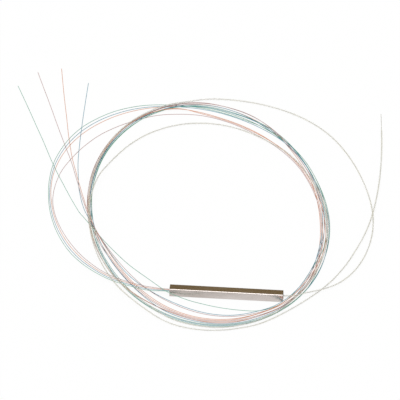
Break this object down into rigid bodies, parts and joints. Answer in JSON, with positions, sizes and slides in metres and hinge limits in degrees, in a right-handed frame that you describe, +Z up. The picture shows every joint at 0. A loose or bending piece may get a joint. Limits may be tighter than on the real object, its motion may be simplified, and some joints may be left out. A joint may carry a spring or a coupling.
{
  "type": "plc fibre splitter",
  "caption": "Bare planar fibre splitter: slim square steel housing with one clear input fibre and coloured output fibres wound in a loose oval coil.",
  "frame": {"origin": "centre of the housing's underside", "axes": "+X along the housing towards the input end, +Y towards the far side of the coil, +Z up"},
  "size_m": [0.1674, 0.1927, 0.004],
  "materials": {
    "housing_steel": "satin drawn tube",
    "end_seal": "matt dark sealing compound",
    "cushion_silicone": "soft translucent silicone",
    "chip_silica": "polished silica on silicon",
    "lid_glass": "polished glass",
    "array_glass": "polished glass",
    "array_adhesive": "cured clear amber adhesive",
    "clear_coating": "natural clear fibre coating",
    "clear_tube": "clear natural loose tube",
    "coil_mixed": "wound coated fibres",
    "green_coating": "coloured fibre coating",
    "blue_coating": "coloured fibre coating",
    "orange_coating": "coloured fibre coating",
    "brown_coating": "coloured fibre coating"
  },
  "bodies": {
    "root": {"housing_tube": "housing_steel", "input_end_seal": "end_seal", "output_end_seal": "end_seal", "lower_cushion": "cushion_silicone", "upper_cushion": "cushion_silicone", "splitter_chip": "chip_silica", "chip_input_lid": "lid_glass", "chip_output_lid": "lid_glass", "input_array_block": "array_glass", "output_array_block": "array_glass", "input_array_lid": "lid_glass", "output_array_lid": "lid_glass", "input_array_bead": "array_adhesive", "output_array_bead": "array_adhesive", "input_fibre": "clear_coating", "input_sleeve": "clear_tube", "fibre_coil": "coil_mixed", "lead_input": "clear_tube", "tail_input": "clear_tube", "input_fibre_stub": "clear_coating", "output_fibre_green": "green_coating", "lead_green": "green_coating", "tail_green": "green_coating", "output_fibre_blue": "blue_coating", "lead_blue": "blue_coating", "tail_blue": "blue_coating", "output_fibre_orange": "orange_coating", "lead_orange": "orange_coating", "tail_orange": "orange_coating", "output_fibre_brown": "brown_coating", "lead_brown": "brown_coating", "tail_brown": "brown_coating"}
  },
  "joints": []
}
